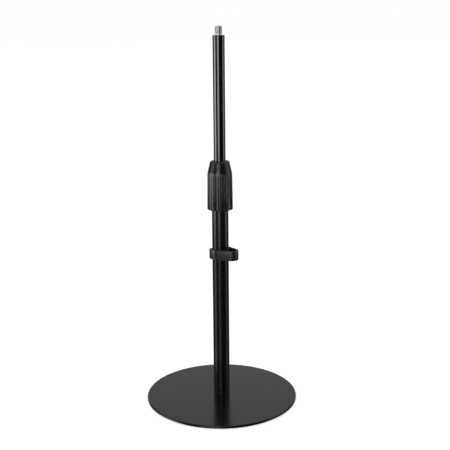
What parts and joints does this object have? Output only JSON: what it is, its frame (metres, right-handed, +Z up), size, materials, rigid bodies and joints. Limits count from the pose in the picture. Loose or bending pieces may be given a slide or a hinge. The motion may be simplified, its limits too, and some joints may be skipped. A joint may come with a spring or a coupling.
{
  "type": "desktop microphone stand",
  "caption": "Desktop microphone stand: flat round steel base, telescoping pole with a fluted twist clutch, threaded stud on top and a sliding cable clip.",
  "frame": {"origin": "on the floor, at the centre of the round base, under the pole's axis", "axes": "+Z up the pole; +X to the right of a viewer who faces the stand; -Y towards that viewer. At rest the pole is fully extended, the clutch is tight and the clip's loop points to the front right."},
  "size_m": [0.205, 0.205, 0.4995],
  "materials": {
    "satin_black": "satin powder coat",
    "gloss_black": "semi-gloss black tube",
    "steel": "turned",
    "zinc": "bright zinc",
    "brass": "turned",
    "nylon": "natural nylon",
    "grip_black": "fine grain",
    "clip_black": "satin",
    "rubber": "matt"
  },
  "bodies": {
    "stand": {"base_plate": "satin_black", "base_pad": "rubber", "base_screw": "steel", "foot_insert": "steel", "lower_tube": "gloss_black", "clutch_sleeve": "zinc", "sleeve_screws": "steel", "cushion_ring": "rubber", "collet": "nylon"},
    "mast_guide": {"guide_bush": "nylon"},
    "mast": {"upper_tube": "gloss_black", "end_plug": "grip_black", "retaining_ring": "steel", "stop_ring": "steel", "top_plug": "zinc", "top_stud": "zinc"},
    "clutch_ring": {"thrust_ring": "steel"},
    "clutch_nut": {"grip_insert": "brass", "clutch_grip": "grip_black"},
    "clip_sleeve": {"clip_liner": "rubber"},
    "clip": {"cable_clip": "clip_black"}
  },
  "joints": [
    {"name": "mast_slide", "type": "slide", "parent": "stand", "child": "mast_guide", "axis": [0, 0, 1], "range_m": [-0.155, 0]},
    {"name": "mast_swivel", "type": "hinge", "parent": "mast_guide", "child": "mast", "pos_m": [0, 0, 0.3], "axis": [0, 0, 1], "continuous": true},
    {"name": "clutch_travel", "type": "slide", "parent": "stand", "child": "clutch_ring", "axis": [0, 0, 1], "range_m": [0, 0.00115]},
    {"name": "clutch_turn", "type": "hinge", "parent": "clutch_ring", "child": "clutch_nut", "pos_m": [0, 0, 0.2965], "axis": [0, 0, 1], "range_deg": [0, 270]},
    {"name": "clip_slide", "type": "slide", "parent": "stand", "child": "clip_sleeve", "axis": [0, 0, 1], "range_m": [-0.19, 0.05]},
    {"name": "clip_swivel", "type": "hinge", "parent": "clip_sleeve", "child": "clip", "pos_m": [0, 0, 0.2048], "axis": [0, 0, 1], "continuous": true}
  ],
  "couplings": [
    {"joint": "clutch_travel", "follows": "clutch_turn", "m_per_rad": 0.00023873}
  ]
}
